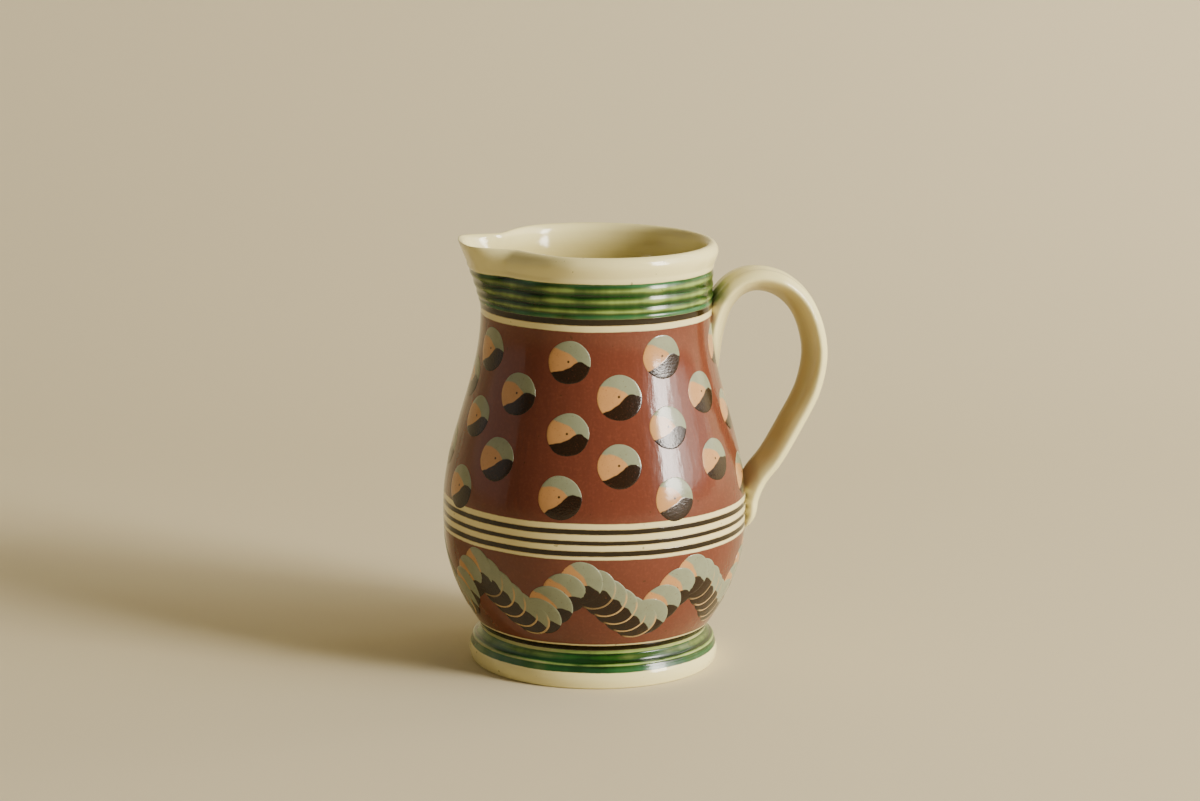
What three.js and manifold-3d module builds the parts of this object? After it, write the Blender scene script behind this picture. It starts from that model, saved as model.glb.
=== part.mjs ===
// A mochaware pitcher: a turned earthenware jug with a pulled lip, a reeded neck and foot,
// and a strap handle that was luted on before firing, so that all of it is one fired piece.
// Millimetres, +Z up. The origin is on the body's axis, in the middle of the flat underside.
// The lip points towards -X and the handle towards +X.
import * as THREE from "three";
import { mergeVertices } from "three/addons/utils/BufferGeometryUtils.js";
import Module from "manifold-3d";

// Heights above the underside
const rimHeight = 165;
const footHeight = 7.5;
const waistHeight = 13.5;
const bellyLowHeight = 58;
const bellyTopHeight = 62;
const floorHeight = 6;

// Drops below the rim
const neckDrop = 29;
const reedTopDrop = 9.9;
const reedLowDrop = 23.1;
const rollDrop = 4;
const lipDrop = 26;

// Outer radii of the turned body
const footRadius = 48.6;
const waistRadius = 43.8;
const bellyRadius = 58.9;
const neckRadius = 44.5;
const collarRadius = 44.7;

// Foot, walls and rim
const footEdge = 1.1;
const footBulge = 1;
const wall = 4.3;
const rimWall = 5.3;
const rollOut = 2.1;
const floorCorner = 9;
const bellyCurve = 2.1;

// Turned reeds: counts over the two bands, and how deep the grooves are
const neckReeds = 4;
const footReeds = 3;
const neckReedDepth = 0.6;
const footReedDepth = 0.5;

// The pulled lip: how far it reaches past the rim, its half angles, its rise, and the pinch beside it
const lipReach = 8.9;
const lipRise = 1;
const lipFullAngle = THREE.MathUtils.degToRad(11);
const lipEndAngle = THREE.MathUtils.degToRad(30);
const pinchIn = 4.4;
const pinchAngle = THREE.MathUtils.degToRad(34);
const pinchEndAngle = THREE.MathUtils.degToRad(72);
const lipTaper = 1.4;
const pinchTaper = 3;

// The strap handle. It widens where it is pressed on, and its lower end is rounded off.
const handleWidth = 20;
const handleThickness = 9.5;
const handleSquareness = 2.4;
const upperFlare = 0.12;
const lowerFlare = 0.06;
const flareLength = 0.16;
const endRound = 0.06;
const endShrink = 0.45;
const handleReach = 86.2;
const handleCrownDrop = 16.2;
const handleWideDrop = 43;
const upperRootDrop = 51;
const lowerRootHeight = 50.5;
const lowerBendHeight = 71;

// How finely the round shapes are divided, with close steps to lipSpan on both sides of the lip
const lipSpan = THREE.MathUtils.degToRad(46);
const lipSteps = 26;
const restSteps = 44;
const lowerRows = 8;
const upperRows = 11;
const innerRows = 11;
const rimRows = 3;
const sectionSteps = 14;
const handleSteps = 36;
const slopeStep = 0.5;
const mergeDistance = 0.0001;

// Heights that follow from the drops
const neckHeight = rimHeight - neckDrop;
const collarHeight = rimHeight - reedTopDrop;
const reedLowHeight = rimHeight - reedLowDrop;
const rollHeight = rimHeight - rollDrop;
const lipStart = rimHeight - lipDrop;

// Glazed brown slip covers most of the jug
const glazedSlip = new THREE.MeshStandardMaterial({
  color: new THREE.Color(0.44, 0.22, 0.13),
  roughness: 0.2,
  metalness: 0,
});

const wasm = await Module();
wasm.setup();

function smooth(low, high, value) {
  return THREE.MathUtils.smoothstep(value, low, high);
}

// Radius of the plain turned outline, without reeds and without the roll under the rim
function plainRadius(z) {
  if (z <= footHeight) {
    const middle = footHeight / 2;
    return footRadius - footBulge * ((z - middle) / middle) ** 2;
  }
  if (z <= waistHeight) {
    const share = smooth(footHeight, waistHeight, z);
    return THREE.MathUtils.lerp(footRadius - footBulge, waistRadius, share);
  }
  if (z <= bellyLowHeight) {
    const left = (bellyLowHeight - z) / (bellyLowHeight - waistHeight);
    return bellyRadius - (bellyRadius - waistRadius) * left ** bellyCurve;
  }
  if (z <= bellyTopHeight) {
    return bellyRadius;
  }
  if (z <= neckHeight) {
    return THREE.MathUtils.lerp(bellyRadius, neckRadius, smooth(bellyTopHeight, neckHeight, z));
  }
  const share = Math.min(1, (z - neckHeight) / (collarHeight - neckHeight));
  return THREE.MathUtils.lerp(neckRadius, collarRadius, share);
}

// One wave of a reeded band: 0 in its grooves and 1 on its crests
function reedWave(z, low, high, count) {
  if (z <= low || z >= high) {
    return 0;
  }
  return 0.5 - 0.5 * Math.cos((2 * Math.PI * count * (z - low)) / (high - low));
}

function outerRadius(z) {
  const neckWave = reedWave(z, reedLowHeight, collarHeight, neckReeds);
  const footWave = reedWave(z, footHeight, waistHeight, footReeds);
  return plainRadius(z) + neckReedDepth * neckWave + footReedDepth * footWave;
}

// The inside keeps the wall's thickness square to the outline
function innerRadius(z) {
  const slope = (plainRadius(z + slopeStep) - plainRadius(z - slopeStep)) / (2 * slopeStep);
  return plainRadius(z) - wall * Math.sqrt(1 + slope * slope);
}

// Angle from the middle of the lip, the same way on both sides
function lipSide(angle) {
  return Math.min(Math.abs(angle), 2 * Math.PI - Math.abs(angle));
}

// How much of the lip there is at an angle from its middle: 1 on it and 0 past its sides
function lipShare(angle) {
  return 1 - smooth(lipFullAngle, lipEndAngle, lipSide(angle));
}

// How much of the pinch there is beside the lip
function pinchShare(angle) {
  const side = lipSide(angle);
  return smooth(lipFullAngle, pinchAngle, side) * (1 - smooth(pinchAngle, pinchEndAngle, side));
}

// The lip and its pinch fade away downwards
function lipFade(z) {
  return THREE.MathUtils.clamp((z - lipStart) / (rimHeight - lipStart), 0, 1);
}

function lipShift(angle, z) {
  const fade = lipFade(z);
  return lipReach * lipShare(angle) * fade ** lipTaper - pinchIn * pinchShare(angle) * fade ** pinchTaper;
}

// A row of the body's skin. Its roll is the part of the radius that the lip irons out.
function row(radius, z, roll = 0) {
  return { radius, z, roll };
}

function evenly(low, high, count) {
  return Array.from({ length: count }, (_, i) => low + ((high - low) * (i + 1)) / count);
}

function outerRows() {
  const rows = [row(plainRadius(0) - footEdge, 0), row(plainRadius(footEdge), footEdge)];
  const heights = [
    ...evenly(footEdge, footHeight, 2),
    ...evenly(footHeight, waistHeight, 2 * footReeds),
    ...evenly(waistHeight, bellyLowHeight, lowerRows),
    bellyTopHeight,
    ...evenly(bellyTopHeight, neckHeight, upperRows),
    reedLowHeight,
    ...evenly(reedLowHeight, collarHeight, 2 * neckReeds),
  ];
  heights.forEach((z) => rows.push(row(outerRadius(z), z)));
  rows.push(row(collarRadius, (collarHeight + rollHeight) / 2, rollOut / 2));
  rows.push(row(collarRadius, rollHeight, rollOut));
  return rows;
}

// The rim is a half round of rows over the wall, from its outer side to its inner side
function rimRowsOver() {
  const half = rimWall / 2;
  const middle = collarRadius + rollOut - half;
  const rows = [];
  for (let i = 1; i < 2 * rimRows; i += 1) {
    const turn = (Math.PI * i) / (2 * rimRows);
    const roll = rollOut * Math.max(0, Math.cos(turn));
    rows.push(row(middle + half * Math.cos(turn) - roll, rollHeight + rollDrop * Math.sin(turn), roll));
  }
  rows.push(row(collarRadius + rollOut - rimWall, rollHeight));
  return rows;
}

function innerSideRows() {
  const cornerTop = floorHeight + floorCorner;
  const heights = evenly(collarHeight, cornerTop, innerRows);
  const rows = [row(innerRadius(collarHeight), collarHeight)];
  heights.forEach((z) => rows.push(row(innerRadius(z), z)));
  const sideRadius = innerRadius(cornerTop);
  for (const turn of [Math.PI / 6, Math.PI / 3, Math.PI / 2]) {
    const inwards = floorCorner * (1 - Math.cos(turn));
    rows.push(row(sideRadius - inwards, cornerTop - floorCorner * Math.sin(turn)));
  }
  return rows;
}

// Angles from the middle of the lip, close together across it
function bodyAngles() {
  const across = evenly(-lipSpan, lipSpan, lipSteps);
  const around = evenly(lipSpan, 2 * Math.PI - lipSpan, restSteps);
  return [...across, ...around];
}

// Closed skin through rows of rings, from a point on the axis at each end
function skin(rows, startHeight, endHeight) {
  const angles = bodyAngles();
  const points = [0, 0, startHeight];
  rows.forEach(({ radius, z, roll }) => {
    angles.forEach((angle) => {
      const r = radius + roll * (1 - lipShare(angle)) + lipShift(angle, z);
      const lift = lipRise * lipShare(angle) * lipFade(z) ** pinchTaper;
      points.push(-r * Math.cos(angle), -r * Math.sin(angle), z + lift);
    });
  });
  points.push(0, 0, endHeight);
  return closedGrid(points, rows.length, angles.length);
}

// Triangles over rings of points, with a single point before the first ring and after the last
function closedGrid(points, ringCount, perRing) {
  const at = (ring, k) => 1 + ring * perRing + (k % perRing);
  const last = points.length / 3 - 1;
  const faces = [];
  for (let k = 0; k < perRing; k += 1) {
    faces.push(0, at(0, k + 1), at(0, k));
    faces.push(last, at(ringCount - 1, k), at(ringCount - 1, k + 1));
    for (let ring = 0; ring + 1 < ringCount; ring += 1) {
      faces.push(at(ring, k), at(ring, k + 1), at(ring + 1, k + 1));
      faces.push(at(ring, k), at(ring + 1, k + 1), at(ring + 1, k));
    }
  }
  const geometry = new THREE.BufferGeometry();
  geometry.setAttribute("position", new THREE.Float32BufferAttribute(points, 3));
  geometry.setIndex(faces);
  return geometry;
}

// The turned and pulled body, open at the top
function pitcherBody() {
  return skin([...outerRows(), ...rimRowsOver(), ...innerSideRows()], 0, floorHeight);
}

// What the handle may not enter: the inside of the jug and half of its wall
function bodyCore() {
  const heights = evenly(0, rimHeight, lowerRows + upperRows + innerRows);
  const rows = heights.map((z) => row(plainRadius(z) - wall / 2, z));
  return skin([row(plainRadius(0) - wall / 2, 0), ...rows], 0, rimHeight);
}

// Middle line of the handle, in the plane through the body's axis: from inside the neck's wall up along
// the neck, over the crown, down past the widest place and into the belly's wall. The shares give its
// hand-bent curve.
function handleLine() {
  const upperRoot = rimHeight - upperRootDrop;
  const crown = rimHeight - handleCrownDrop;
  const wide = rimHeight - handleWideDrop;
  const rise = crown - upperRoot;
  const fall = wide - lowerBendHeight;
  const neckOff = (height) => neckRadius + handleThickness * height;
  const inwards = handleReach - bellyRadius;
  const points = [
    [plainRadius(upperRoot) - wall, upperRoot - 0.08 * rise],
    [neckOff(-0.02), upperRoot + 0.18 * rise],
    [neckOff(0.16), upperRoot + 0.48 * rise],
    [neckOff(0.53), upperRoot + 0.76 * rise],
    [neckOff(1.16), upperRoot + 0.94 * rise],
    [neckOff(1.95), crown],
    [handleReach - 0.5 * inwards, crown - 0.075 * rise],
    [handleReach - 0.19 * inwards, crown - 0.31 * rise],
    [handleReach, wide],
    [handleReach - 0.07 * inwards, wide - 0.3 * fall],
    [handleReach - 0.33 * inwards, wide - 0.61 * fall],
    [handleReach - 0.58 * inwards, wide - 0.86 * fall],
    [bellyRadius + 0.62 * handleThickness, lowerBendHeight],
    [bellyRadius + 0.23 * handleThickness, 0.6 * lowerBendHeight + 0.4 * lowerRootHeight],
    [bellyRadius + 0.08 * handleThickness, 0.22 * lowerBendHeight + 0.78 * lowerRootHeight],
    [bellyRadius - wall / 2, lowerRootHeight],
  ];
  return new THREE.CatmullRomCurve3(points.map(([x, z]) => new THREE.Vector3(x, 0, z)), false, "centripetal");
}

// Strap section: an oval with flattened faces
function strapOffset(turn, half) {
  const c = Math.cos(turn);
  return half * Math.sign(c) * Math.abs(c) ** (2 / handleSquareness);
}

function handleStrap() {
  const line = handleLine();
  const points = [...line.getPoint(0).toArray()];
  for (let i = 0; i <= handleSteps; i += 1) {
    const share = i / handleSteps;
    const middle = line.getPointAt(share);
    const along = line.getTangentAt(share);
    const rounding = 1 - endShrink + endShrink * Math.sqrt(smooth(0, endRound, 1 - share));
    const atTop = upperFlare * (1 - smooth(0, flareLength, share));
    const atFoot = lowerFlare * smooth(1 - flareLength, 1, share);
    const flare = 1 + atTop + atFoot;
    for (let k = 0; k < sectionSteps; k += 1) {
      const turn = (2 * Math.PI * k) / sectionSteps;
      const thick = strapOffset(turn, handleThickness / 2) * rounding;
      const wide = strapOffset(turn - Math.PI / 2, handleWidth / 2) * rounding * flare;
      points.push(middle.x - along.z * thick, -wide, middle.z + along.x * thick);
    }
  }
  points.push(...line.getPoint(1).toArray());
  return closedGrid(points, handleSteps + 1, sectionSteps);
}

// A closed geometry as a solid for joining and cutting
function solidOf(geometry) {
  const bare = geometry.clone();
  bare.deleteAttribute("normal");
  bare.deleteAttribute("uv");
  const merged = mergeVertices(bare, mergeDistance);
  return new wasm.Manifold(new wasm.Mesh({
    numProp: 3,
    vertProperties: new Float32Array(merged.attributes.position.array),
    triVerts: new Uint32Array(merged.index.array),
  }));
}

function geometryOf(solid) {
  const mesh = solid.getMesh();
  const geometry = new THREE.BufferGeometry();
  geometry.setAttribute("position", new THREE.Float32BufferAttribute(mesh.vertProperties, 3));
  geometry.setIndex([...mesh.triVerts]);
  geometry.computeVertexNormals();
  return geometry;
}

function pitcher() {
  const handle = solidOf(handleStrap()).subtract(solidOf(bodyCore()));
  const mesh = new THREE.Mesh(geometryOf(solidOf(pitcherBody()).add(handle)), glazedSlip);
  mesh.name = "pitcher";
  return mesh;
}

const group = new THREE.Group();
group.add(pitcher());

export default group;
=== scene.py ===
"""Dresses the frame of a mochaware pitcher: a turned body with slip bands and reeded green glaze,
drops of three-colour slip, a trail of such drops in waves, and a pulled strap handle."""

import math

import bpy
from bpy.props import FloatProperty, FloatVectorProperty, IntProperty, PointerProperty
from mathutils import Matrix, Vector


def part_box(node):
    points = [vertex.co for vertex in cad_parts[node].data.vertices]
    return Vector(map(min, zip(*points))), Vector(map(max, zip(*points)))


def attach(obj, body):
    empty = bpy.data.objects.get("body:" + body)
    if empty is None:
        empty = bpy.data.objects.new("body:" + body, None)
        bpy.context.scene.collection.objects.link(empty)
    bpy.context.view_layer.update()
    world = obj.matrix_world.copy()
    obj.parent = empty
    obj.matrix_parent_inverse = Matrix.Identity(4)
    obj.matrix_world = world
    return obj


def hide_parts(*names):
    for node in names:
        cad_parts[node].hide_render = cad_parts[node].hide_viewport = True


bl_info = {
    "name": "Mochaware pitcher",
    "version": (1, 0, 0),
    "blender": (4, 5, 0),
    "location": "View3D > Sidebar > Pitcher",
    "description": "Makes a slip-decorated pitcher over its frame, and a stage for it",
    "category": "Object",
}

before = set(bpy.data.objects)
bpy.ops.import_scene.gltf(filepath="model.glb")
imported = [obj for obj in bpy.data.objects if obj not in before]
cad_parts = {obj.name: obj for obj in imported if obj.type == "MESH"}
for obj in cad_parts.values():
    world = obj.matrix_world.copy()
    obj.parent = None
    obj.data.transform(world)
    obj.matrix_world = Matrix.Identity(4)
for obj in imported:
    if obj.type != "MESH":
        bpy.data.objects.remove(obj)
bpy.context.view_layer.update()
NODE = "pitcher"

# A millimetre of the pitcher, which is 166 mm high over its lip
MM = (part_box(NODE)[1].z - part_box(NODE)[0].z) / 166

# The turned outline, in millimetres, as the frame has it
RIM_HEIGHT = 165
FOOT_HEIGHT = 7.5
WAIST_HEIGHT = 13.5
BELLY_LOW = 58
BELLY_TOP = 62
NECK_HEIGHT = 136
COLLAR_HEIGHT = 155.1
ROLL_HEIGHT = 161
LIP_START = 139
FLOOR_HEIGHT = 6
FOOT_RADIUS = 48.6
FOOT_BULGE = 1
FOOT_EDGE = 1.1
WAIST_RADIUS = 43.8
BELLY_RADIUS = 58.9
BELLY_CURVE = 2.1
NECK_RADIUS = 44.5
COLLAR_RADIUS = 44.7
WALL = 4.3
RIM_WALL = 5.3
ROLL_OUT = 2.1
ROLL_DROP = 4
FLOOR_CORNER = 9

# The recess under the body: its depth, and where the ring that the pitcher stands on begins
RECESS = 0.9
RECESS_RADIUS = 39.5
RING_RADIUS = 43

# The lip in degrees from its middle: full out to the first, gone at the second, and the dips
# that are pressed into the rim beside it
LIP_FULL = 14
LIP_END = 32
PINCH_START = 11
PINCH_DEEPEST = 34
PINCH_END = 72

# The strap's middle line, in millimetres, as the frame has it
STRAP_THICKNESS = 9.5
STRAP_REACH = 86.2
STRAP_CROWN = 148.8
STRAP_WIDEST = 122
UPPER_ROOT = 114
LOWER_BEND = 71
LOWER_ROOT = 50.5

# How square the strap's section is: 2 is an ellipse, and more is squarer
STRAP_SQUARENESS = 2.4

# Reeds as marks of height and level, 0 in a groove and 1 on a crest
NECK_REEDS = (
    (141.2, 0.0), (142.4, 0.55), (143.3, 0.05), (144.7, 1.0), (146.5, 0.0), (148.5, 1.0),
    (150.5, 0.0), (152.6, 1.0), (154.5, 0.1), (155.6, 0.75), (157.5, 0.0),
)
FOOT_REEDS = (
    (6.4, 0.0), (7.4, 0.15), (8.6, 0.0), (9.1, 1.2), (9.5, 1.0), (9.8, -0.6), (10.2, -0.6), (10.9, 0.3),
    (11.6, 0.5), (12.2, 0.3), (12.6, 0.0), (13.1, 1.3), (14.0, 1.3), (14.5, 0.0),
)

# Bands round the body by their lowest and highest heights, and the stretch where cream is left as stripes
GREEN_BANDS = ((6.4, 14.3), (141.9, 155.1))
DARK_BANDS = ((14.3, 16.5), (54.8, 56.7), (59.1, 60.6), (63.2, 65.0), (139.6, 141.9))
BROWN_FIELDS = ((17.3, 53.3), (67.3, 137.1))
STRIPES = (16.0, 141.0)

# Drops on the upper field by column: angle round the body and height of each
EYE_COLUMNS = (
    ((-160.8, 126.2), (-160.9, 100.7), (-162.3, 73.9)), ((-137.4, 112.2), (-142.4, 87.6)),
    ((-112.5, 125.5), (-111.3, 99.4), (-112.9, 76.5)), ((-89.0, 112.9), (-90.1, 88.2)),
    ((-66.2, 126.8), (-67.2, 100.9), (-68.3, 74.9)), ((-43.4, 111.3), (-44.0, 86.3)),
    ((-17.5, 126.4), (-19.5, 101.2), (-20.0, 76.3)), ((0.5, 106.0), (1.2, 85.5)),
    ((22.6, 126.0), (21.4, 100.4), (23.1, 75.0)), ((45.9, 112.8), (44.1, 87.0)),
    ((66.8, 125.2), (68.3, 99.9), (67.1, 74.3)), ((89.0, 113.0), (91.2, 87.6)),
    ((112.9, 126.1), (111.5, 100.8), (113.4, 75.6)), ((135.3, 112.1), (133.8, 86.9)),
    ((157.4, 125.6), (156.1, 100.2), (158.2, 74.8)), ((-178.9, 113.5), (175.7, 85.8)),
)

# One wave of the trail from its crest: angle, height, twist of the colours, lift of the dark,
# strength of the pale edge and share of the peach slip
TRAIL_WAVE = (
    (0.0, 44.2, -26, 0.05, 0.0, 0.8),
    (5.0, 41.6, -42, 0.2, 0.5, 0.35),
    (9.6, 38.0, -48, 0.28, 1.0, 0.1),
    (13.8, 34.4, -52, 0.3, 1.0, 0.05),
    (18.2, 30.8, -52, 0.3, 1.0, 0.0),
    (22.6, 27.8, -44, 0.2, 1.0, 0.1),
    (27.6, 28.8, -22, 0.02, 0.0, 0.75),
    (33.0, 34.0, -16, 0.0, 0.0, 0.86),
    (39.0, 39.6, -18, 0.0, 0.0, 0.84),
)
WAVES = 8

# The angle of the first wave's crest, and the body's mean radius under the trail
TRAIL_CREST = -15.0
TRAIL_BODY_RADIUS = 51

# A drop's grain: faces round it and from pole to pole, and how far its underside sinks in
DROP_SEGMENTS = 44
DROP_RINGS = 16
DROP_SINK = 0.9

# Where the colours meet in a drop of radius 1, as two edges that reach past it on both sides
DISC_REACH = 1.2
SAGE_EDGE = (
    (-1.2, 0.66), (-0.72, 0.58), (-0.23, 0.49), (0.14, 0.30), (0.33, 0.12), (0.5, -0.2), (1.2, -0.9),
)
DARK_EDGE = (
    (-1.2, -0.7), (-0.77, -0.56), (-0.23, -0.37), (0.05, -0.21), (0.28, -0.02), (0.47, 0.06),
    (0.79, 0.02), (1.2, -0.16),
)

# The fine mark in a drop's middle, and the stretch of a trailed drop's edge that stays pale
PIN_PLACE = (-0.03, 0.04, 0.0)
HOOK_FROM = math.radians(-112)
HOOK_TO = math.radians(8)

# The camera: its lens, place in millimetres, and how it looks down, round and rolled
LENS = 94.96
CAMERA_PLACE = (-206.6, -1182.3, 353.8)
LOOK_DOWN = math.radians(11.848)
YAW = math.radians(10)
ROLL = math.radians(0.541)

# Upright lights to the right of the camera, by azimuth in degrees and share of the window's power
WINDOW_LIGHTS = ((-40.5, 1.55), (-32.5, 1.3))
ROOM_LIGHTS = ((-22, 0.5), (-10, 0.25), (2, 0.1), (14, 0.2), (26, 0.42), (38, 0.22))
WARM_WHITE = (1.0, 0.95, 0.87)
SKY_COLOUR = (1.0, 0.86, 0.61, 1)

# Floor and backdrop in metres: half width, near end, start and radius of the curve, and top
SWEEP_HALF = 3.5
SWEEP_NEAR = -3.0
SWEEP_START = 0.35
SWEEP_CURVE = 0.9
SWEEP_TOP = 3.2


def smooth(low, high, value):
    share = min(1.0, max(0.0, (value - low) / (high - low)))
    return share * share * (3 - 2 * share)


def between(low, high, count):
    """Numbers from low to high, without low itself."""
    return [low + (high - low) * (i + 1) / count for i in range(count)]


def length(name, description, millimetres):
    return FloatProperty(name=name, description=description, default=millimetres * 0.001, min=0,
                         precision=5, unit="LENGTH")


def paint(name, description, colour):
    return FloatVectorProperty(name=name, description=description, default=colour, min=0, max=1,
                               size=3, subtype="COLOR")


class PitcherSizes(bpy.types.PropertyGroup):
    """Sizes of the pitcher's details"""

    segments: IntProperty(name="Segments", description="Faces round the turned body", default=256,
                          min=48, max=300)
    lip_reach: length("Lip reach", "How far the lip is pulled out past the neck", 8.9)
    lip_rise: length("Lip rise", "How far the lip stands above the rim", 0.5)
    pinch: length("Pinch", "How far the rim is pressed in beside the lip", 4.4)
    wobble: length("Wobble", "Unevenness of the turned wall", 0.1)
    reed_depth: length("Reed depth", "Height of the reeds over their grooves", 0.34)
    eye_radius: length("Drop radius", "Radius of a drop on the upper field", 8.3)
    eye_relief: length("Drop relief", "How far a drop stands off the body", 0.19)
    trail_radius: length("Trail radius", "Radius of a drop of the waved trail", 8.6)
    trail_relief: length("Trail relief", "How far a drop of the trail stands off the body", 0.22)
    trail_tilt: length("Trail tilt", "How far each drop leans over the one before it", 0.17)
    handle_width: length("Handle width", "Width of the strap", 20)
    handle_thickness: length("Handle thickness", "Thickness of the strap", 9.5)
    handle_ridge: length("Handle ridge", "Depth of the finger grooves along the strap", 0.3)


class PitcherColours(bpy.types.PropertyGroup):
    """Colours of the pitcher's slips and glazes, with painted shade on the strap and painted light inside"""

    cream: paint("Cream", "Clear glaze over the pale body", (0.755, 0.672, 0.32))
    stripe: paint("Cream stripe", "Turned cream lines between the slips", (0.72, 0.62, 0.305))
    dark: paint("Dark slip", "Near black lines and drops", (0.0145, 0.008, 0.0021))
    brown: paint("Brown slip", "Field round the body", (0.125, 0.0335, 0.0175))
    green_light: paint("Green on the crests", "Thin green glaze", (0.168, 0.245, 0.056))
    green_deep: paint("Green in the grooves", "Green glaze where it pools", (0.008, 0.045, 0.004))
    green_cool: paint("Cool green", "Green glaze along the band's edges", (0.035, 0.15, 0.06))
    sage: paint("Sage slip", "Blue-grey slip in the drops", (0.222, 0.238, 0.148))
    peach: paint("Peach slip", "Orange-tan slip in the drops", (0.46, 0.232, 0.083))
    # Painted light: the inside of the belly is made paler than the cream, for light bounced round the inside
    inside: paint("Inside", "Thin glaze in the belly", (0.86, 0.8, 0.6))
    # Painted shade: the strap's inner face turns towards the body and away from the window, and is darkened
    # in its colour
    strap_inner_shade: paint("Strap, inner face", "Thick glaze inside the handle", (0.40, 0.335, 0.155))
    bare: paint("Bare foot ring", "Unglazed ring that the pitcher stands on", (0.60, 0.50, 0.36))


class StageSizes(bpy.types.PropertyGroup):
    """Floor and light"""

    floor: paint("Floor", "Colour of the plain floor and backdrop", (0.62, 0.545, 0.362))
    window: FloatProperty(name="Window", description="Power of the tall soft window", default=57,
                          min=0, unit="POWER")
    fill: FloatProperty(name="Fill", description="Power of the weak light from the left", default=4.6,
                        min=0, unit="POWER")
    sky: FloatProperty(name="Sky", description="Strength of the even light", default=0.19, min=0)


class Wire:
    """An output socket that takes part in sums."""

    def __init__(self, bench, socket):
        self.bench = bench
        self.socket = socket

    def __add__(self, other):
        return self.bench.maths("ADD", self, other)

    __radd__ = __add__

    def __sub__(self, other):
        return self.bench.maths("SUBTRACT", self, other)

    def __rsub__(self, other):
        return self.bench.maths("SUBTRACT", other, self)

    def __mul__(self, other):
        return self.bench.maths("MULTIPLY", self, other)

    __rmul__ = __mul__

    def __truediv__(self, other):
        return self.bench.maths("DIVIDE", self, other)

    def __rtruediv__(self, other):
        return self.bench.maths("DIVIDE", other, self)

    def __pow__(self, other):
        return self.bench.maths("POWER", self, other)

    def __mod__(self, other):
        return self.bench.maths("FLOORED_MODULO", self, other)

    def __abs__(self):
        return self.bench.maths("ABSOLUTE", self)


class Bench:
    """Adds nodes to one tree."""

    def __init__(self, tree):
        self.tree = tree

    def add(self, kind, settings=None, sockets=None, out=0):
        """A new node's output, or several for a tuple of outputs. Settings come before sockets."""
        node = self.tree.nodes.new(kind)
        for name, value in (settings or {}).items():
            if name == "stops":
                self.set_stops(node.color_ramp, value)
            elif name == "curve":
                self.set_curve(node.mapping, value)
            else:
                setattr(node, name, value)
        for key, value in (sockets or {}).items():
            socket = self.find(node.inputs, key)
            if isinstance(value, Wire):
                self.tree.links.new(value.socket, socket)
            else:
                socket.default_value = value
        if isinstance(out, tuple):
            return tuple(Wire(self, self.find(node.outputs, key)) for key in out)
        return Wire(self, self.find(node.outputs, out))

    def maths(self, operation, *values):
        return self.add("ShaderNodeMath", {"operation": operation}, dict(enumerate(values)))

    @staticmethod
    def find(sockets, key):
        """A socket by its place, or by name among those that the node's settings leave in use."""
        if isinstance(key, int):
            return sockets[key]
        for socket in sockets:
            if socket.name == key and socket.enabled:
                return socket
        raise KeyError(key)

    @staticmethod
    def set_stops(ramp, stops):
        while len(ramp.elements) < len(stops):
            ramp.elements.new(1.0)
        for element, (place, colour) in zip(ramp.elements, stops):
            element.position = place
            element.color = (*colour, 1)

    @staticmethod
    def set_curve(mapping, points):
        curve = mapping.curves[0]
        while len(curve.points) < len(points):
            curve.points.new(0.5, 0.5)
        for point, place in zip(curve.points, points):
            point.location = place
        mapping.update()

    def ramp(self, value, low, high):
        """0 below low and 1 above high, with a smooth step between."""
        return self.add("ShaderNodeMapRange", {"interpolation_type": "SMOOTHSTEP"},
                        {"Value": value, "From Min": low, "From Max": high})

    def within(self, value, low, high, soft):
        """1 between low and high, with soft edges."""
        return self.ramp(value, low - soft, low + soft) * (1 - self.ramp(value, high - soft, high + soft))

    def split(self, vector):
        return self.add("ShaderNodeSeparateXYZ", {}, {0: vector}, (0, 1, 2))

    def join(self, x, y, z):
        return self.add("ShaderNodeCombineXYZ", {}, {0: x, 1: y, 2: z})

    def vector(self, operation, *values, out=0):
        return self.add("ShaderNodeVectorMath", {"operation": operation}, dict(enumerate(values)), out)

    def scaled(self, vector, factor):
        return self.add("ShaderNodeVectorMath", {"operation": "SCALE"}, {0: vector, "Scale": factor})

    def blend(self, share, first, second):
        """A colour between two, or between a colour and a wire of one."""
        return self.add("ShaderNodeMix", {"data_type": "RGBA"},
                        {0: share, 6: opaque(first), 7: opaque(second)}, 2)

    def noise(self, vector, scale, detail=2.0):
        return self.add("ShaderNodeTexNoise", {}, {"Vector": vector, "Scale": scale, "Detail": detail},
                        "Fac")

    def attribute(self, name, out="Vector"):
        return self.add("ShaderNodeAttribute", {"attribute_name": name}, {}, out)


def opaque(colour):
    """A colour with its alpha, or the wire that carries one."""
    return colour if isinstance(colour, Wire) else (*colour, 1)


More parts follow.
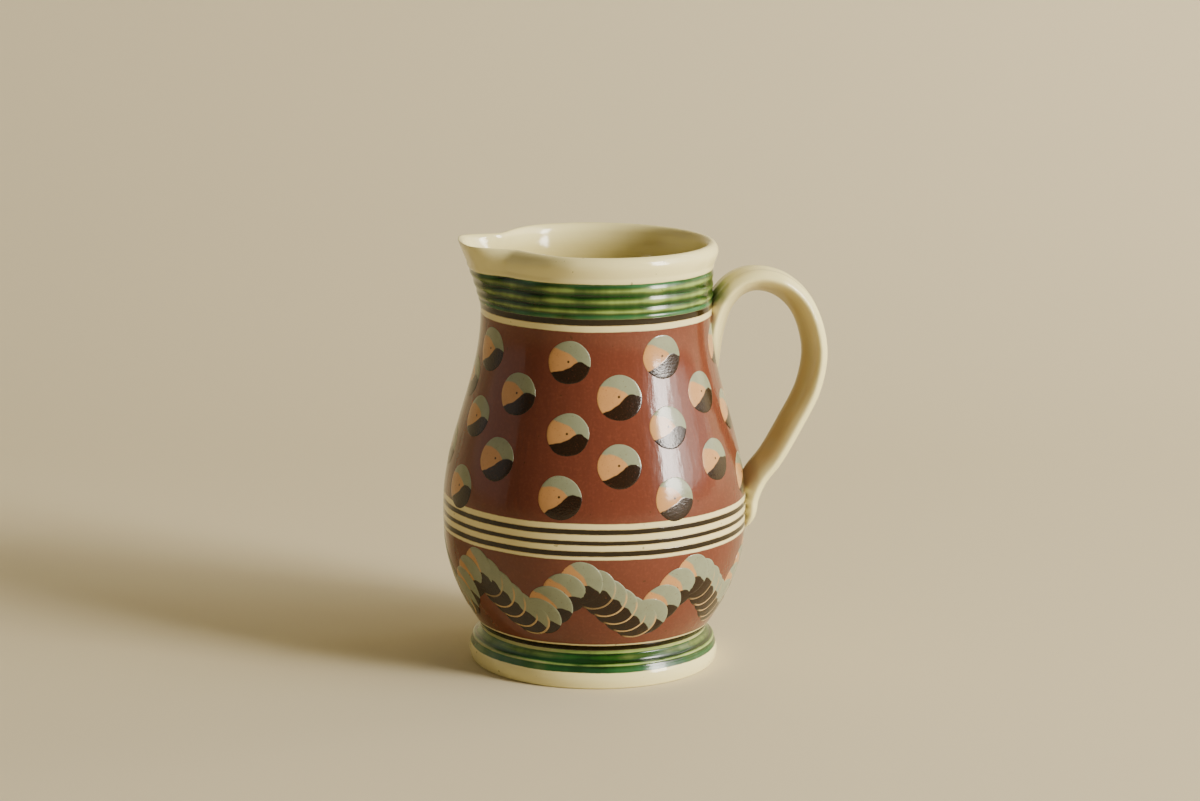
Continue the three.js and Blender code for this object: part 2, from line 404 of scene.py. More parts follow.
class Growth(Bench):
    """A Geometry Nodes tree with named inputs, grown on an object and then made a plain mesh."""

    KINDS = {"number": "NodeSocketFloat", "count": "NodeSocketInt", "object": "NodeSocketObject",
             "finish": "NodeSocketMaterial"}

    def __init__(self, name, **inputs):
        super().__init__(bpy.data.node_groups.new(name, "GeometryNodeTree"))
        face = self.tree.interface
        face.new_socket("Geometry", in_out="INPUT", socket_type="NodeSocketGeometry")
        face.new_socket("Geometry", in_out="OUTPUT", socket_type="NodeSocketGeometry")
        self.sockets = {}
        for key, kind in inputs.items():
            title = key.replace("_", " ").capitalize()
            self.sockets[key] = face.new_socket(title, in_out="INPUT", socket_type=self.KINDS[kind])
        given = self.tree.nodes.new("NodeGroupInput")
        self.start = Wire(self, given.outputs["Geometry"])
        self.given = {key: Wire(self, given.outputs[s.name]) for key, s in self.sockets.items()}

    def read(self, name, kind="FLOAT"):
        return self.add("GeometryNodeInputNamedAttribute", {"data_type": kind}, {"Name": name}, "Attribute")

    def random(self, low, high, seed):
        return self.add("FunctionNodeRandomValue", {"data_type": "FLOAT"},
                        {"Min": low, "Max": high, "Seed": seed}, "Value")

    def store(self, geometry, name, value, kind="FLOAT"):
        return self.add("GeometryNodeStoreNamedAttribute", {"data_type": kind, "domain": "POINT"},
                        {"Geometry": geometry, "Name": name, "Value": value}, "Geometry")

    def move(self, geometry, place):
        return self.add("GeometryNodeSetPosition", {}, {"Geometry": geometry, "Position": place})

    def end(self, geometry):
        """Every tree ends in real faces with their finish."""
        real = self.add("GeometryNodeRealizeInstances", {}, {0: geometry})
        even = self.add("GeometryNodeSetShadeSmooth", {}, {"Geometry": real})
        last = self.add("GeometryNodeSetMaterial", {}, {"Geometry": even, "Material": self.given["finish"]})
        out = self.tree.nodes.new("NodeGroupOutput")
        self.tree.links.new(last.socket, out.inputs[0])

    def grow(self, name, mesh, **values):
        """The piece that the tree makes from a mesh, as an object with a plain mesh."""
        piece = bpy.data.objects.new(name, mesh)
        bpy.context.scene.collection.objects.link(piece)
        modifier = piece.modifiers.new("Growth", "NODES")
        modifier.node_group = self.tree
        for key, value in values.items():
            modifier[self.sockets[key].identifier] = value
        graph = bpy.context.evaluated_depsgraph_get()
        plain = bpy.data.meshes.new_from_object(piece.evaluated_get(graph))
        piece.modifiers.remove(modifier)
        piece.data = plain
        plain.name = name
        if not plain.polygons:
            raise RuntimeError(f"{name} came out empty")
        return piece


def note(mesh, name, values):
    """Keeps a number, or three, for each point of a mesh."""
    if isinstance(values[0], tuple):
        data = mesh.attributes.new(name, "FLOAT_VECTOR", "POINT").data
        data.foreach_set("vector", [number for value in values for number in value])
    else:
        mesh.attributes.new(name, "FLOAT", "POINT").data.foreach_set("value", values)


def claim(piece):
    """The piece rides on the pitcher's body and stands for its solid."""
    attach(piece, "root")
    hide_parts(NODE)


def plain_radius(z):
    """Radius of the outline without reeds and without the roll under the rim."""
    if z <= FOOT_HEIGHT:
        middle = FOOT_HEIGHT / 2
        return FOOT_RADIUS - FOOT_BULGE * ((z - middle) / middle) ** 2
    if z <= WAIST_HEIGHT:
        share = smooth(FOOT_HEIGHT, WAIST_HEIGHT, z)
        return FOOT_RADIUS - FOOT_BULGE + (WAIST_RADIUS - FOOT_RADIUS + FOOT_BULGE) * share
    if z <= BELLY_LOW:
        left = (BELLY_LOW - z) / (BELLY_LOW - WAIST_HEIGHT)
        return BELLY_RADIUS - (BELLY_RADIUS - WAIST_RADIUS) * left ** BELLY_CURVE
    if z <= BELLY_TOP:
        return BELLY_RADIUS
    if z <= NECK_HEIGHT:
        return BELLY_RADIUS + (NECK_RADIUS - BELLY_RADIUS) * smooth(BELLY_TOP, NECK_HEIGHT, z)
    share = min(1.0, (z - NECK_HEIGHT) / (COLLAR_HEIGHT - NECK_HEIGHT))
    return NECK_RADIUS + (COLLAR_RADIUS - NECK_RADIUS) * share


def inner_radius(z):
    slope = plain_radius(z + 0.5) - plain_radius(z - 0.5)
    return plain_radius(z) - WALL * math.sqrt(1 + slope * slope)


def reed_level(z):
    """0 in a groove and 1 on a crest of the nearest reeded band."""
    for marks in (FOOT_REEDS, NECK_REEDS):
        for (low, start), (high, stop) in zip(marks, marks[1:]):
            if low <= z < high:
                return start + (stop - start) * smooth(low, high, z)
    return 0.0


def outline(reed):
    """Rows of radius, height, roll, reed level and place: -1 under, 0 outside and 1 inside."""
    under = [(r, RECESS) for r in (0, 8, 16, 24, 31, 36, RECESS_RADIUS)]
    under += [(40.6, 0.8), (41.4, 0.5), (42.1, 0.15), (RING_RADIUS, 0), (44.8, 0)]
    rows = [(r, z, 0, 0, -1) for r, z in under]
    low = plain_radius(FOOT_EDGE)
    for turn in (0, 0.25, 0.5, 0.75):
        angle = turn * math.pi / 2
        rows.append((low - FOOT_EDGE * (1 - math.sin(angle)), FOOT_EDGE * (1 - math.cos(angle)), 0, 0, 0))
    heights = [FOOT_EDGE, *between(FOOT_EDGE, 6.9, 8), *between(6.9, 16.2, 38),
               *between(16.2, NECK_HEIGHT, 84), *between(NECK_HEIGHT, 141, 6),
               *between(141, 158, 62), *between(158, ROLL_HEIGHT, 5)]
    for z in heights:
        level = reed_level(z)
        roll = ROLL_OUT * smooth(COLLAR_HEIGHT - 1, ROLL_HEIGHT + 1, z)
        rows.append((plain_radius(z) + reed * level, z, roll, level, 0))
    half = RIM_WALL / 2
    middle = COLLAR_RADIUS + ROLL_OUT - half
    for turn in between(0, 1, 16):
        angle = turn * math.pi
        roll = ROLL_OUT * max(0.0, math.cos(angle))
        rows.append((middle + half * math.cos(angle) - roll, ROLL_HEIGHT + ROLL_DROP * math.sin(angle),
                     roll, 0, 1 if turn > 0.7 else 0))
    corner = FLOOR_HEIGHT + FLOOR_CORNER
    rows.append((COLLAR_RADIUS + ROLL_OUT - RIM_WALL - 0.45, 158.4, 0, 0, 1))
    for z in [COLLAR_HEIGHT, *between(COLLAR_HEIGHT, corner, 62)]:
        rows.append((inner_radius(z), z, 0, 0, 1))
    side = inner_radius(corner)
    for turn in between(0, 1, 7):
        angle = turn * math.pi / 2
        rows.append((side - FLOOR_CORNER * (1 - math.cos(angle)), corner - FLOOR_CORNER * math.sin(angle),
                     0, 0, 1))
    return rows + [(r, FLOOR_HEIGHT, 0, 0, 1) for r in (29, 22, 15, 8, 0)]


def outline_mesh(rows):
    mesh = bpy.data.meshes.new("outline")
    mesh.from_pydata([(r * MM, 0, z * MM) for r, z, *_ in rows], [], [])
    note(mesh, "roll", [roll * MM for _, _, roll, *_ in rows])
    note(mesh, "turned", [(z, level, place) for _, z, _, level, place in rows])
    return mesh


def turning():
    """Tree that spins the outline, pulls the lip and presses the rim in beside it."""
    t = Growth("turn_and_pull_lip", segments="count", lip_reach="number", lip_rise="number",
               pinch="number", lip_start="number", rim_height="number", wobble="number", finish="finish")
    given = t.given
    rows = t.add("GeometryNodeAttributeDomainSize", {}, {0: t.start}, "Point Count")
    net = t.add("GeometryNodeMeshGrid", {}, {"Size X": 1.0, "Size Y": 1.0,
                                             "Vertices X": given["segments"] + 1, "Vertices Y": rows})
    index = t.add("GeometryNodeInputIndex")
    row = index % rows
    column = (index - row) / rows

    def sampled(value, kind):
        return t.add("GeometryNodeSampleIndex", {"data_type": kind, "domain": "POINT"},
                     {"Geometry": t.start, "Value": value, "Index": row}, "Value")

    radius, _, z = t.split(sampled(t.add("GeometryNodeInputPosition"), "FLOAT_VECTOR"))
    roll = sampled(t.read("roll"), "FLOAT")
    turned = sampled(t.read("turned", "FLOAT_VECTOR"), "FLOAT_VECTOR")
    angle = column * math.tau / given["segments"]
    side = abs(angle - math.pi)
    lip = 1 - t.ramp(side, math.radians(LIP_FULL), math.radians(LIP_END))
    pinched = t.ramp(side, math.radians(PINCH_START), math.radians(PINCH_DEEPEST))
    pinched = pinched * (1 - t.ramp(side, math.radians(PINCH_DEEPEST), math.radians(PINCH_END)))
    fade = t.add("ShaderNodeMapRange", {}, {"Value": z, "From Min": given["lip_start"],
                                            "From Max": given["rim_height"]})
    c = t.maths("COSINE", angle)
    s = t.maths("SINE", angle)
    around = t.join(c, s, z / (60 * MM))
    uneven = (t.noise(around, 1.6, 1.0) - 0.5) * given["wobble"] * t.ramp(radius, 20 * MM, 40 * MM)
    radius = radius + roll * (1 - lip) + given["lip_reach"] * lip * fade ** 1.4
    radius = radius - given["pinch"] * pinched * fade ** 3 + uneven
    height = z + given["lip_rise"] * lip * fade ** 3
    placed = t.move(net, t.join(radius * c, radius * s, height))
    kept = t.store(placed, "turned", turned, "FLOAT_VECTOR")
    t.end(t.add("GeometryNodeMergeByDistance", {}, {"Geometry": kept, "Distance": 0.02 * MM}))
    return t


def drop_points(places):
    """Points outside the body, each with the way its drop leans and how its colours lie."""
    mesh = bpy.data.meshes.new("drop places")
    reach = 1.6 * BELLY_RADIUS * MM
    mesh.from_pydata([(reach * math.cos(a), reach * math.sin(a), z * MM) for a, z, *_ in places], [], [])
    note(mesh, "lean", [place[2] for place in places])
    note(mesh, "colours", [place[3] for place in places])
    note(mesh, "tan", [place[4] for place in places])
    return mesh


def eye_places():
    still = (0, 0, 0)
    return [(math.radians(angle), z, still, still, 1) for column in EYE_COLUMNS for angle, z in column]


def trail_places():
    """The trail's drops from right to left, each leaning up towards the one before it."""
    steps = []
    for wave in range(WAVES):
        for angle, *rest in TRAIL_WAVE:
            steps.append((math.radians(TRAIL_CREST - 360 / WAVES * wave + angle), *rest))
    steps.sort(key=lambda step: -step[0])
    places = []
    for i, (angle, z, twist, lift, edge, tan) in enumerate(steps):
        before = steps[i - 1]
        across = (before[0] - angle) % math.tau * TRAIL_BODY_RADIUS
        way = Vector((across, before[1] - z, 0)).normalized()
        places.append((angle, z, tuple(way), (math.radians(twist), lift, edge), tan))
    return places


def dropping():
    """Tree that lets a drop fall on the body at each point, flattened and following the wall."""
    t = Growth("drop_slip", body="object", radius="number", relief="number", tilt="number",
               sink="number", edge="number", uneven="number", seed="count", finish="finish")
    given = t.given
    body = t.add("GeometryNodeObjectInfo", {"transform_space": "RELATIVE"}, {0: given["body"]}, "Geometry")

    def cast(start, way, outputs):
        return t.add("GeometryNodeRaycast", {}, {"Target Geometry": body, "Source Position": start,
                                                 "Ray Direction": way, "Ray Length": 1.0}, outputs)

    place = t.add("GeometryNodeInputPosition")
    x, y, _ = t.split(place)
    inward = t.scaled(t.vector("NORMALIZE", t.join(x, y, 0.0)), -1.0)
    hit, normal = cast(place, inward, ("Hit Position", "Hit Normal"))
    points = t.store(t.start, "outwards", normal, "FLOAT_VECTOR")
    points = t.store(points, "middle", hit, "FLOAT_VECTOR")
    points = t.store(points, "drop", t.random(0.0, 1.0, given["seed"]))
    points = t.move(points, t.read("middle", "FLOAT_VECTOR"))
    ball = t.add("GeometryNodeMeshUVSphere", {},
                 {"Segments": DROP_SEGMENTS, "Rings": DROP_RINGS, "Radius": 1.0}, "Mesh")
    ball = t.store(ball, "local", t.add("GeometryNodeInputPosition"), "FLOAT_VECTOR")
    outwards = t.read("outwards", "FLOAT_VECTOR")
    facing = t.add("FunctionNodeAxesToRotation", {"primary_axis": "Z", "secondary_axis": "Y"},
                   {0: outwards, 1: (0.0, 0.0, 1.0)})
    size = given["radius"] * (1 + given["uneven"] * t.random(-1.0, 1.0, given["seed"] + 1))
    flat = t.add("GeometryNodeInstanceOnPoints", {},
                 {"Points": points, "Instance": ball, "Rotation": facing,
                  "Scale": t.join(size, size, size * 0.001)})
    real = t.add("GeometryNodeRealizeInstances", {}, {0: flat})
    local = t.read("local", "FLOAT_VECTOR")
    lx, ly, lz = t.split(local)
    ragged = t.noise(t.join(lx, ly, t.read("drop") * 50), 1.1, 1.0) - 0.5
    middle = t.read("middle", "FLOAT_VECTOR")
    off = t.vector("SUBTRACT", t.add("GeometryNodeInputPosition"), middle)
    spread = t.vector("ADD", middle, t.scaled(off, 1 + ragged * given["uneven"] * 3))
    start = t.vector("ADD", spread, t.scaled(outwards, 12 * MM))
    skin, rise = cast(start, t.scaled(outwards, -1.0), ("Hit Position", "Hit Normal"))
    over = t.maths("MAXIMUM", lz, 0.0) ** given["edge"]
    under = t.maths("MAXIMUM", 0 - lz, 0.0)
    leaning = t.vector("DOT_PRODUCT", local, t.read("lean", "FLOAT_VECTOR"), out="Value")
    height = given["relief"] * over - given["sink"] * under + given["tilt"] * leaning
    t.end(t.move(real, t.vector("ADD", skin, t.scaled(rise, height))))
    return t


def handle_marks():
    """Middle line of the strap in the plane through the body's axis, as the frame has it."""
    rise = STRAP_CROWN - UPPER_ROOT
    fall = STRAP_WIDEST - LOWER_BEND
    drop = LOWER_BEND - LOWER_ROOT
    inwards = STRAP_REACH - BELLY_RADIUS
    marks = [(plain_radius(UPPER_ROOT) - WALL, UPPER_ROOT - 0.08 * rise)]
    for out, up in ((-0.02, 0.18), (0.16, 0.48), (0.53, 0.76), (1.16, 0.94), (1.95, 1.0)):
        marks.append((NECK_RADIUS + STRAP_THICKNESS * out, UPPER_ROOT + up * rise))
    for back, down in ((0.5, 0.075), (0.19, 0.31)):
        marks.append((STRAP_REACH - back * inwards, STRAP_CROWN - down * rise))
    for back, down in ((0, 0), (0.07, 0.3), (0.35, 0.61), (0.62, 0.86)):
        marks.append((STRAP_REACH - back * inwards, STRAP_WIDEST - down * fall))
    for out, down in ((0.5, 0), (0.12, 0.4), (0.02, 0.78)):
        marks.append((BELLY_RADIUS + out * STRAP_THICKNESS, LOWER_BEND - down * drop))
    return [*marks, (BELLY_RADIUS - WALL / 2, LOWER_ROOT)]


def curve_through(marks, per_span):
    """Points of a centripetal curve through the marks."""
    marks = [Vector(m) for m in marks]
    marks = [2 * marks[0] - marks[1], *marks, 2 * marks[-1] - marks[-2]]
    points = []
    for a, b, c, d in zip(marks, marks[1:], marks[2:], marks[3:]):
        t1 = (b - a).length ** 0.5
        t2 = t1 + (c - b).length ** 0.5
        t3 = t2 + (d - c).length ** 0.5
        for i in range(per_span):
            t = t1 + (t2 - t1) * i / per_span
            ab = a.lerp(b, t / t1)
            bc = b.lerp(c, (t - t1) / (t2 - t1))
            cd = c.lerp(d, (t - t2) / (t3 - t2))
            points.append(ab.lerp(bc, t / t2).lerp(bc.lerp(cd, (t - t1) / (t3 - t1)), (t - t1) / (t2 - t1)))
    return [*points, marks[-2]]


def evened(points, count):
    """Points at even steps along a line, with the line's direction there."""
    steps = [0.0]
    for a, b in zip(points, points[1:]):
        steps.append(steps[-1] + (b - a).length)
    out = []
    k = 0
    for i in range(count + 1):
        want = steps[-1] * i / count
        while k + 2 < len(points) and steps[k + 1] < want:
            k += 1
        share = (want - steps[k]) / (steps[k + 1] - steps[k])
        before = points[max(0, k - 3)]
        after = points[min(len(points) - 1, k + 4)]
        out.append((points[k].lerp(points[k + 1], share), (after - before).normalized()))
    return out


def strap_mesh(width, thickness, ridge, rings=200, around=56):
    """Strap with a rounded outer face and finger grooves, its ends pressed into the body's wall."""
    verts, faces, notes = [], [], []
    line = evened(curve_through(handle_marks(), 16), rings)
    for i, (middle, along) in enumerate(line):
        share = i / rings
        rounding = 0.55 + 0.45 * math.sqrt(smooth(0, 0.06, 1 - share))
        flare = 1 + 0.12 * (1 - smooth(0, 0.16, share)) + 0.06 * smooth(0.84, 1, share)
        grooves = smooth(0.02, 0.12, share) * smooth(0, 0.1, 1 - share)
        for k in range(around):
            turn = math.tau * k / around
            c, w = math.cos(turn), math.sin(turn)
            outer = math.copysign(abs(c) ** (2 / STRAP_SQUARENESS), c)
            wide = math.copysign(abs(w) ** (2 / STRAP_SQUARENESS), w) * width / 2 * rounding * flare
            furrow = math.cos(3 * math.pi * w) * ridge * grooves * max(0.0, c) ** 0.5
            wide *= 1 - 0.62 * (max(0.0, 0.35 - outer) / 1.35) ** 1.3
            thick = (outer * thickness / 2) * rounding + furrow
            x = middle.x - along.y * thick
            z = middle.y + along.x * thick
            verts.append([x, -wide, z])
            off = math.hypot(x, wide) - plain_radius(z)
            notes.append((share, c, off))
    for vert in verts:
        r = math.hypot(vert[0], vert[1])
        deepest = plain_radius(vert[2]) - WALL * 0.45
        if r < deepest:
            vert[0] *= deepest / r
            vert[1] *= deepest / r

    def at(ring, k):
        return ring * around + k % around

    for ring in range(rings):
        for k in range(around):
            faces.append((at(ring, k), at(ring, k + 1), at(ring + 1, k + 1), at(ring + 1, k)))
    for ring, turned in ((0, True), (rings, False)):
        loop = [at(ring, k) for k in range(around)]
        middle = [sum(verts[v][axis] for v in loop) / around for axis in range(3)]
        verts.append(middle)
        notes.append(notes[loop[0]])
        centre = len(verts) - 1
        for k in range(around):
            a, b = loop[k], loop[(k + 1) % around]
            faces.append((centre, b, a) if turned else (centre, a, b))
    mesh = bpy.data.meshes.new("pitcher_handle")
    mesh.from_pydata([tuple(c * MM for c in v) for v in verts], [], faces)
    note(mesh, "strap", notes)
    mesh.shade_smooth()
    return mesh


class Glaze(Bench):
    """A material's tree, which ends in one glossy shader."""

    def __init__(self, name):
        self.material = bpy.data.materials.new(name)
        self.material.use_nodes = True
        super().__init__(self.material.node_tree)
        self.tree.nodes.clear()
        self.place = self.add("ShaderNodeTexCoord", {}, {}, "Object")

    def bump(self, height, deep):
        """A normal for relief that is so many millimetres deep."""
        return self.add("ShaderNodeBump", {}, {"Strength": 1.0, "Distance": deep * MM, "Height": height},
                        "Normal")

    def end(self, colour, roughness, normal, ior=1.45):
        looks = {"Base Color": colour, "Roughness": roughness, "Normal": normal, "IOR": ior}
        shader = self.add("ShaderNodeBsdfPrincipled", {}, looks, "BSDF")
        out = self.tree.nodes.new("ShaderNodeOutputMaterial")
        self.tree.links.new(shader.socket, out.inputs["Surface"])
        return self.material


def tone(colour, factor):
    return tuple(min(1.0, c * factor) for c in colour)


def body_glaze(paints):
    """Slip bands by height, green glaze that pools between the reeds, cream everywhere else, and painted
    shade and light inside.
    """
    g = Glaze("banded_slip_under_glaze")
    height, reed, place = g.split(g.attribute("turned"))
    wander = (g.noise(g.place, 45.0, 1.0) - 0.5) * 0.5 + (g.noise(g.place, 420.0, 2.0) - 0.5) * 0.22
    band = height + wander
    inside = g.ramp(place, 0.2, 0.8)
    under = g.ramp(0 - place, 0.3, 0.7)
    outside = (1 - inside) * (1 - under)

    def bands(edges, soft, grow=0.0):
        total = 0.0
        for low, high in edges:
            total = g.within(band, low - grow, high + grow, soft) + total
        return total * outside

    clouds = g.noise(g.place, 28.0, 3.0)
    grain = g.noise(g.place, 900.0, 2.0)
    cream = g.blend(clouds, tone(paints.cream, 0.95), tone(paints.cream, 1.04))
    cream = g.blend(g.within(band, *STRIPES, 0.4) * (1 - inside), cream, tuple(paints.stripe))
    tinge = g.maths("MAXIMUM", bands(DARK_BANDS, 0.2, 0.25), bands(BROWN_FIELDS, 0.2, 0.2))
    colour = g.blend(tinge * 0.5, cream, tone(paints.peach, 0.55))

    green_mask = bands(GREEN_BANDS, 0.16)
    colour = g.blend(green_mask, colour, pooled_green(g, paints, band, reed))
    dark_mask = bands(DARK_BANDS, 0.1)
    colour = g.blend(dark_mask, colour, tuple(paints.dark))
    brown_mask = bands(BROWN_FIELDS, 0.1)
    brown = g.blend(clouds, tone(paints.brown, 0.84), tone(paints.brown, 1.18))
    brown = g.blend(g.ramp(grain, 0.45, 0.75) * 0.35, brown, tone(paints.brown, 1.5))
    colour = g.blend(brown_mask, colour, brown)

    colour = shaded_inside(g, paints, colour, inside, height)
    pins = g.ramp(g.noise(g.place, 640.0, 0.0), 0.835, 0.86) * outside
    colour = g.blend(pins * 0.5, colour, tone(paints.dark, 3.0))
    wiped = under * g.within(height, -1.0, 0.3, 0.1)
    colour = g.blend(wiped, colour, tuple(paints.bare))

    peel = g.noise(g.place, 260.0, 2.0)
    throwing = g.noise(g.join(0.0, 0.0, height), 1.6, 2.0)
    ripples = g.noise(g.vector("MULTIPLY", g.place, (1.0, 1.0, 0.1)), 320.0, 2.0)
    relief = peel * 0.5 + throwing * 0.35 + brown_mask * 0.8 + dark_mask * 0.8 + grain * 0.05
    relief = relief + ripples * brown_mask * 1.7
    roughness = 0.09 + brown_mask * 0.04 + green_mask * 0.05 + wiped * 0.6 + clouds * 0.04
    return g.end(colour, roughness, g.bump(relief, 0.07))


def pooled_green(g, paints, band, reed):
    """Green by depth: dark in the grooves, light on the crests, thin towards the lip over the foot."""
    streaks = g.noise(g.vector("MULTIPLY", g.place, (1.0, 1.0, 0.25)), 170.0, 3.0)
    drift = g.noise(g.vector("MULTIPLY", g.place, (1.0, 1.0, 1.3)), 40.0, 2.0)
    towards_lip = g.ramp(0 - g.split(g.place)[0], 0.0, 0.05)
    thin = g.within(band, 5.5, 15.0, 0.5) * towards_lip
    depth = reed * 0.92 + (streaks - 0.5) * 0.8 + (drift - 0.5) * 1.7 + thin * 0.5
    middle = [(a + b) / 4 for a, b in zip(paints.green_deep, paints.green_light)]
    stops = [(0.0, tone(paints.green_deep, 0.45)), (0.24, tone(paints.green_deep, 1.25)), (0.52, middle),
             (0.78, tone(paints.green_light, 0.62)), (1.0, tone(paints.green_light, 1.25))]
    green = g.add("ShaderNodeValToRGB", {"stops": stops}, {0: depth}, "Color")
    neck_edges = g.ramp(band, 152.9, 154.6) + g.within(band, 141.0, 143.4, 0.5)
    edges = neck_edges + g.within(band, 6.0, 8.0, 0.5) * 0.5
    cool = edges * g.ramp(g.noise(g.place, 60.0, 1.0), 0.35, 0.65)
    green = g.blend(cool * 0.7, green, tuple(paints.green_cool))
    green = g.blend(thin * 0.35, green, tone(paints.green_cool, 1.4))
    return g.blend(g.ramp(depth, 1.0, 1.6) * 0.7, green, tone(paints.cream, 0.6))


def shaded_inside(g, paints, colour, inside, height):
    """Painted shade, darker and warmer in rings, inside the neck under the rim, and painted light that makes
    the belly inside paler.
    """
    rings = g.noise(g.join(0.0, 0.0, height), 0.7, 2.0)
    # Painted shade inside, from 110 mm up to under the rim
    neck = g.ramp(height, 110.0, 140.0) * (1 - g.ramp(height, 155.0, 163.5))
    shade_colour = [c * share for c, share in zip(paints.cream, (0.66, 0.62, 0.45))]
    colour = g.blend(inside * neck * (0.5 + rings * 0.5), colour, shade_colour)
    # Painted light: the belly inside is blended towards a paler colour
    belly = inside * (1 - g.ramp(height, 60.0, 118.0))
    return g.blend(belly * 0.9, colour, tuple(paints.inside))


def drop_glaze(name, paints):
    """Three slips side by side in each drop: sage over peach, with the dark run in below."""
    g = Glaze(name)
    local = g.attribute("local")
    twist, lift, edge = g.split(g.attribute("colours"))
    drop = g.attribute("drop", "Fac")
    tan = g.attribute("tan", "Fac")
    own = g.vector("ADD", local, g.join(0.0, 0.0, drop * 40))
    shaken = g.add("ShaderNodeTexNoise", {}, {"Vector": own, "Scale": 1.3, "Detail": 2.0}, "Color")
    warped = g.vector("ADD", local, g.scaled(g.vector("SUBTRACT", shaken, (0.5, 0.5, 0.5)), 0.22))
    turn = twist + (drop - 0.5) * 0.3
    laid = g.add("ShaderNodeVectorRotate", {"rotation_type": "Z_AXIS"},
                 {"Vector": warped, "Angle": 0 - turn}, "Vector")
    x, y, _ = g.split(laid)
    y = y - lift

    def above(edge_points):
        """How far a point lies above an edge that runs across the disc."""
        span = 2 * DISC_REACH
        curve = [((a + DISC_REACH) / span, (b + DISC_REACH) / span) for a, b in edge_points]
        value = g.add("ShaderNodeFloatCurve", {"curve": curve}, {"Value": (x + DISC_REACH) / span}, "Value")
        return y - (value * span - DISC_REACH)

    speck = g.noise(g.place, 1500.0, 2.0)
    soft = g.noise(g.place, 300.0, 2.0)
    sage = g.blend(soft, tone(paints.sage, 0.88), tone(paints.sage, 1.12))
    peach = g.blend(soft, tone(paints.peach, 0.9), tone(paints.peach, 1.12))
    colour = g.blend(g.ramp(above(SAGE_EDGE) + (1 - tan) * 0.75, -0.05, 0.06), peach, sage)
    dark = 1 - g.ramp(above(DARK_EDGE), -0.03, 0.03)
    rusty = [0.6 * a + 0.06 * b for a, b in zip(paints.dark, paints.brown)]
    colour = g.blend(dark, colour, rusty)
    lx, ly, _ = g.split(local)
    flat = g.join(lx, ly, 0.0)
    rim = g.vector("LENGTH", flat, out="Value")
    angle = g.maths("ARCTAN2", ly, lx)
    hook = g.within(angle, HOOK_FROM, HOOK_TO, 0.2) * g.ramp(rim, 0.885, 0.915)
    pale = [0.58 * a + 0.22 * b for a, b in zip(paints.peach, paints.cream)]
    colour = g.blend(hook * edge * g.ramp(speck, 0.2, 0.4), colour, pale)
    pin = 1 - g.ramp(g.vector("DISTANCE", flat, PIN_PLACE, out="Value"), 0.035, 0.075)
    colour = g.blend(pin, colour, tone(paints.dark, 2.0))
    colour = g.blend(g.ramp(speck, 0.6, 0.75) * 0.35, colour, tone(paints.brown, 0.8))
    grit = g.noise(g.vector("MULTIPLY", g.place, (1.0, 1.0, 1.4)), 900.0, 2.0)
    relief = soft * 0.4 + speck * 0.1 + grit * dark
    return g.end(colour, 0.1 + speck * 0.08 + dark * 0.05, g.bump(relief, 0.08))


def handle_glaze(paints):
    """Cream glaze, darker at the body and with painted shade on the inner face; green from the reeded band
    on its root.
    """
    g = Glaze("cream_glaze_on_strap")
    share, outer, off = g.split(g.attribute("strap"))
    _, _, z = g.split(g.place)
    height = z / MM
    clouds = g.noise(g.place, 30.0, 3.0)
    long_streaks = g.noise(g.vector("MULTIPLY", g.place, (1.0, 2.5, 0.3)), 160.0, 3.0)
    cream = g.blend(clouds, tone(paints.cream, 0.95), tone(paints.cream, 1.05))
    colour = g.blend(g.ramp(long_streaks, 0.5, 0.8) * 0.2, cream, tone(paints.cream, 0.84))
    # Painted shade on the strap's inner face, which turns away from the window, blended towards its darker
    # colour
    inner = 1 - g.ramp(outer + (long_streaks - 0.5) * 0.5, -0.6, 0.25)
    colour = g.blend(inner * 0.75, colour, tuple(paints.strap_inner_shade))
    joint = 1 - g.ramp(off, 0.2, 1.8)
    colour = g.blend(joint * 0.55, colour, tone(paints.stripe, 0.5))
    near = 1 - g.ramp(off + (clouds - 0.5) * 5, 2.0, 9.0)
    root = g.within(height + (long_streaks - 0.5) * 4, 141.5, 152.0, 1.5) * (1 - g.ramp(share, 0.16, 0.3))
    colour = g.blend(root * near * 0.75, colour, tone(paints.green_light, 0.9))
    deep = root * (1 - g.ramp(off, 0.3, 3.5))
    colour = g.blend(deep, colour, tone(paints.green_deep, 1.6))
    peel = g.noise(g.place, 240.0, 2.0)
    relief = peel * 0.5 + long_streaks * 0.5
    return g.end(colour, 0.09 + clouds * 0.05, g.bump(relief, 0.07))


def plain_finish(name, colour, roughness):
    """Smooth paper for the floor, with a faint unevenness."""
    g = Glaze(name)
    clouds = g.noise(g.place, 3.0, 2.0)
    shade = g.blend(clouds, tone(colour, 0.98), tone(colour, 1.02))
    return g.end(shade, roughness, g.bump(clouds, 0.1), ior=1.3)


def sweep_mesh():
    """Floor that curves up into a backdrop, square to the camera."""
    profile = [(SWEEP_NEAR, 0.0), (-1.0, 0.0), (0.0, 0.0), (SWEEP_START, 0.0)]
    for turn in between(0, math.pi / 2, 24):
        profile.append((SWEEP_START + SWEEP_CURVE * math.sin(turn), SWEEP_CURVE * (1 - math.cos(turn))))
    profile.append((SWEEP_START + SWEEP_CURVE, SWEEP_TOP))
    verts, faces = [], []
    for side in (-SWEEP_HALF, SWEEP_HALF):
        for deep, z in profile:
            x = side * math.cos(YAW) + deep * math.sin(YAW)
            y = -side * math.sin(YAW) + deep * math.cos(YAW)
            verts.append((x, y, z))
    count = len(profile)
    for i in range(count - 1):
        faces.append((i, count + i, count + i + 1, i + 1))
    mesh = bpy.data.meshes.new("floor_and_backdrop")
    mesh.from_pydata(verts, [], faces)
    mesh.shade_smooth()
    return mesh


